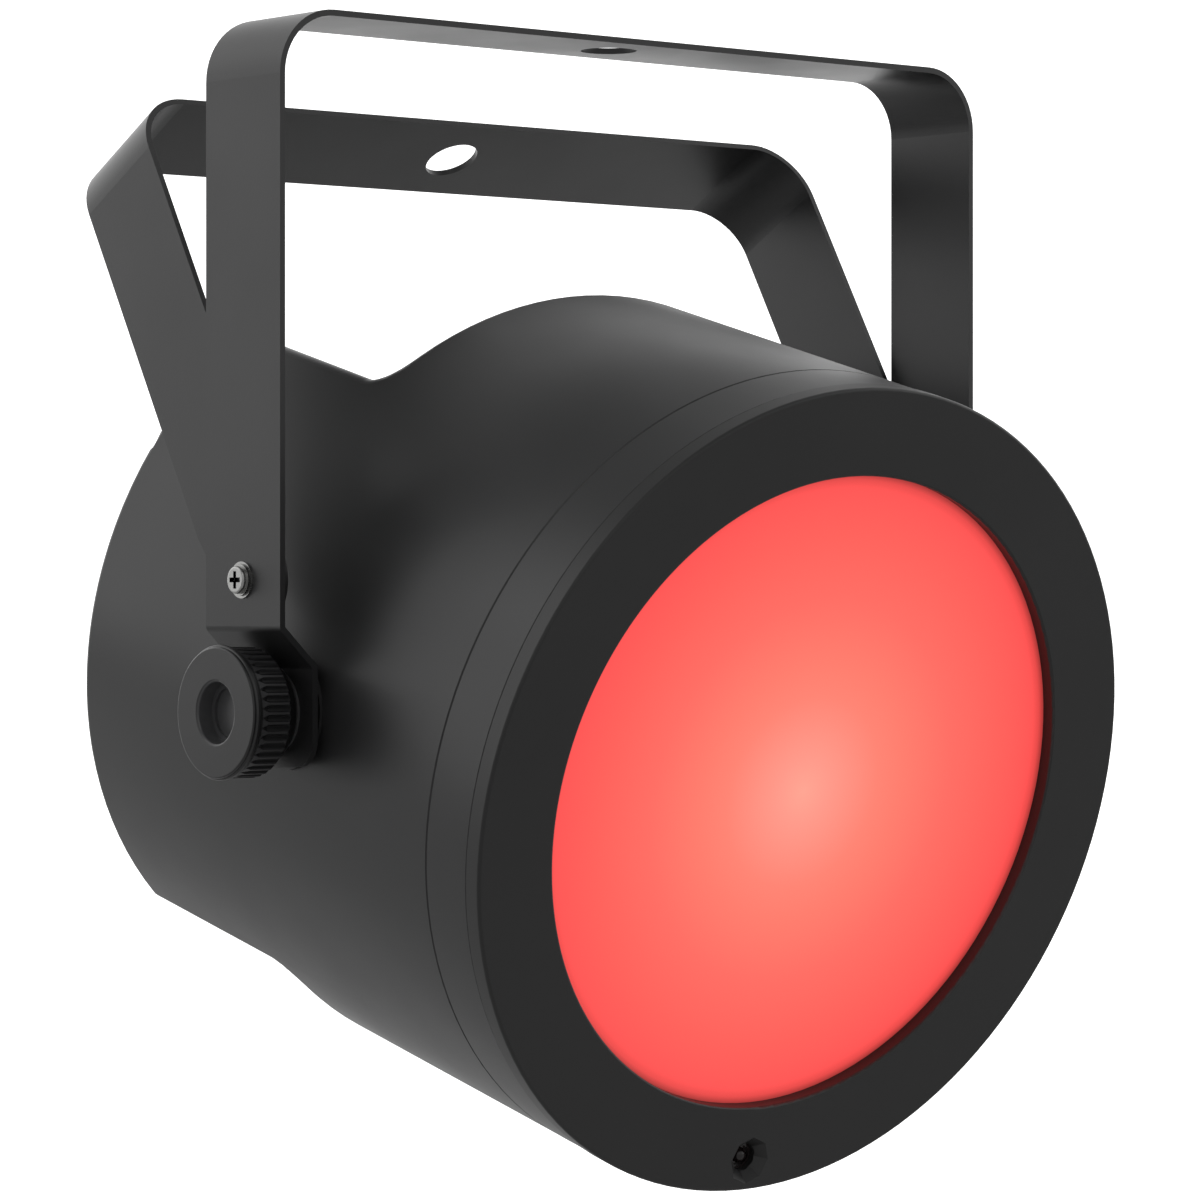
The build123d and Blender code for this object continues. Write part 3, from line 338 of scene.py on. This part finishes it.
def floor_material():
    """Pale floor with painted light: far behind the light it turns paler and glows, running into the
    white surround.
    """
    tree = Tree("floor_pale")
    where = tree.coords()
    reach = tree.add("ShaderNodeVectorMath", operation="LENGTH")
    along = tree.add("ShaderNodeVectorMath", operation="DOT_PRODUCT")
    along.inputs[1].default_value = VIEW_ALONG
    tree.link(where, reach.inputs[0])
    tree.link(where, along.inputs[0])
    distance = reach.outputs["Value"]
    far = tree.span(distance, 0.0, 1.0, *FLOOR_GLOWS)
    cosine = tree.math("DIVIDE", along.outputs["Value"], distance)
    behind = tree.span(cosine, 0.0, 1.0, *FLOOR_SIDES)
    # painted light: the floor glows and turns paler far behind the light
    glow = tree.math("MULTIPLY", far, behind)
    painted_light = tree.math("MULTIPLY", tree.span(distance, 0.0, 1.0, *FLOOR_PAINTED_LIGHT), behind)
    tree.link(
        tree.ramp(painted_light, [(0.0, (0.56, 0.56, 0.56)), (1.0, (0.93, 0.93, 0.93))]),
        tree.bsdf.inputs["Base Color"],
    )
    tree.link(tree.span(glow, 0.0, 1.0), tree.bsdf.inputs["Emission Strength"])
    tree.set(Emission_Color=(1, 1, 1, 1), Roughness=0.9, Specular_IOR_Level=0.2)
    return tree.material


def surround(behind, front, zenith):
    """White studio surround: brightest at eye level on the far side of the light."""
    world = bpy.data.worlds.new("studio")
    bpy.context.scene.world = world
    world.use_nodes = True
    tree, link = world.node_tree.nodes, world.node_tree.links.new
    direction = tree.new("ShaderNodeTexCoord").outputs["Generated"]
    along = tree.new("ShaderNodeVectorMath")
    along.operation = "DOT_PRODUCT"
    along.inputs[1].default_value = VIEW_ALONG
    link(direction, along.inputs[0])
    split = tree.new("ShaderNodeSeparateXYZ")
    link(direction, split.inputs[0])
    both = tree.new("ShaderNodeMath")
    both.operation = "MULTIPLY"
    spans = (
        (along.outputs["Value"], -0.6, 0.62, front, behind),
        (split.outputs["Z"], 0.38, 0.85, 1.0, zenith),
    )
    for (source, low, high, low_out, high_out), target in zip(spans, both.inputs):
        span = tree.new("ShaderNodeMapRange")
        span.interpolation_type = "SMOOTHSTEP"
        span.inputs["From Min"].default_value = low
        span.inputs["From Max"].default_value = high
        span.inputs["To Min"].default_value = low_out
        span.inputs["To Max"].default_value = high_out
        link(source, span.inputs["Value"])
        link(span.outputs["Result"], target)
    link(both.outputs["Value"], tree["Background"].inputs["Strength"])
    tree["Background"].inputs["Color"].default_value = (1, 1, 1, 1)


bpy.ops.mesh.primitive_plane_add(size=80, location=(0, 0, FLOOR_Z))
floor = bpy.context.object
floor.name = "floor"
floor.data.materials.append(floor_material())

surround(1.62, 0.58, 0.34)
area("key", (-0.9, -1.6, 1.6), (0, 0, -0.15), (1.6, 1.2), 4)
area("side", (-2.2, 1.4, 2.2), (0, 0, -0.15), (1.8, 1.4), 8)

# ------------------------------------------------------------------ camera
camera_data = bpy.data.cameras.new("camera")
camera = bpy.data.objects.new("camera", camera_data)
bpy.context.scene.collection.objects.link(camera)
camera.location = (-0.8022, -0.9541, -0.1419)
camera.rotation_euler = (math.radians(90), 0, -VIEW_TURN)
camera_data.sensor_width = 36.0
camera_data.lens = 148.05
camera_data.shift_x = -0.003
camera_data.shift_y = 0.0057
camera_data.clip_start = 0.05
bpy.context.scene.camera = camera
bpy.context.scene.view_settings.view_transform = "Standard"
